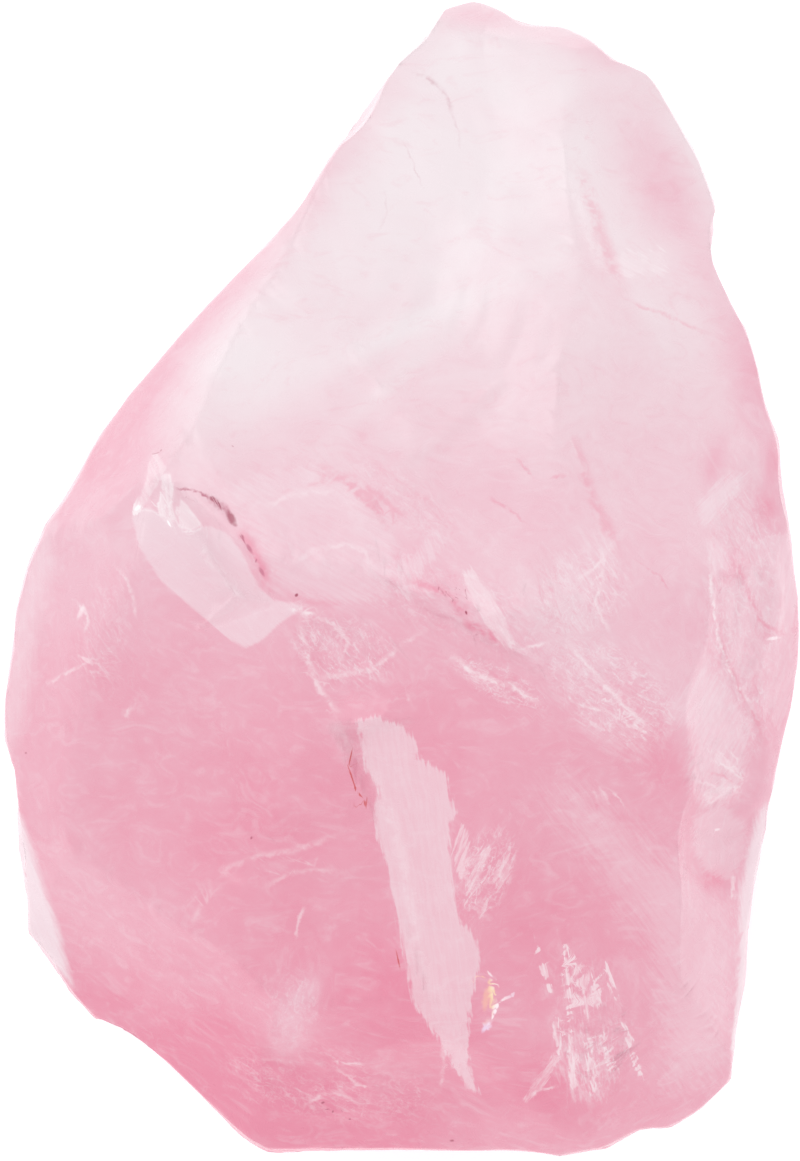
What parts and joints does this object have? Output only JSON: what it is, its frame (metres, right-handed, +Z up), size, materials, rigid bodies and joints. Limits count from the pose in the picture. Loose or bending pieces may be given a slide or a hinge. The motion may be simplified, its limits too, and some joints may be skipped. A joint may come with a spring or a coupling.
{
  "type": "rose quartz chunk",
  "caption": "Rough lump of pink quartz with flat breaks, shell-like hollows and small steps, lying on a flat break.",
  "frame": {"origin": "the middle of the stone's outline from above, on the surface that it lies on", "axes": "+X across the stone to its right, +Y along it to its pointed end, +Z up from the flat break that it lies on to the face that shows"},
  "size_m": [0.055, 0.08, 0.031],
  "materials": {
    "rose_quartz": "glassy on its fresh breaks and waxy where it is rough, cloudy pink and partly see-through"
  },
  "bodies": {
    "root": {"rose_quartz_chunk": "rose_quartz"}
  },
  "joints": []
}
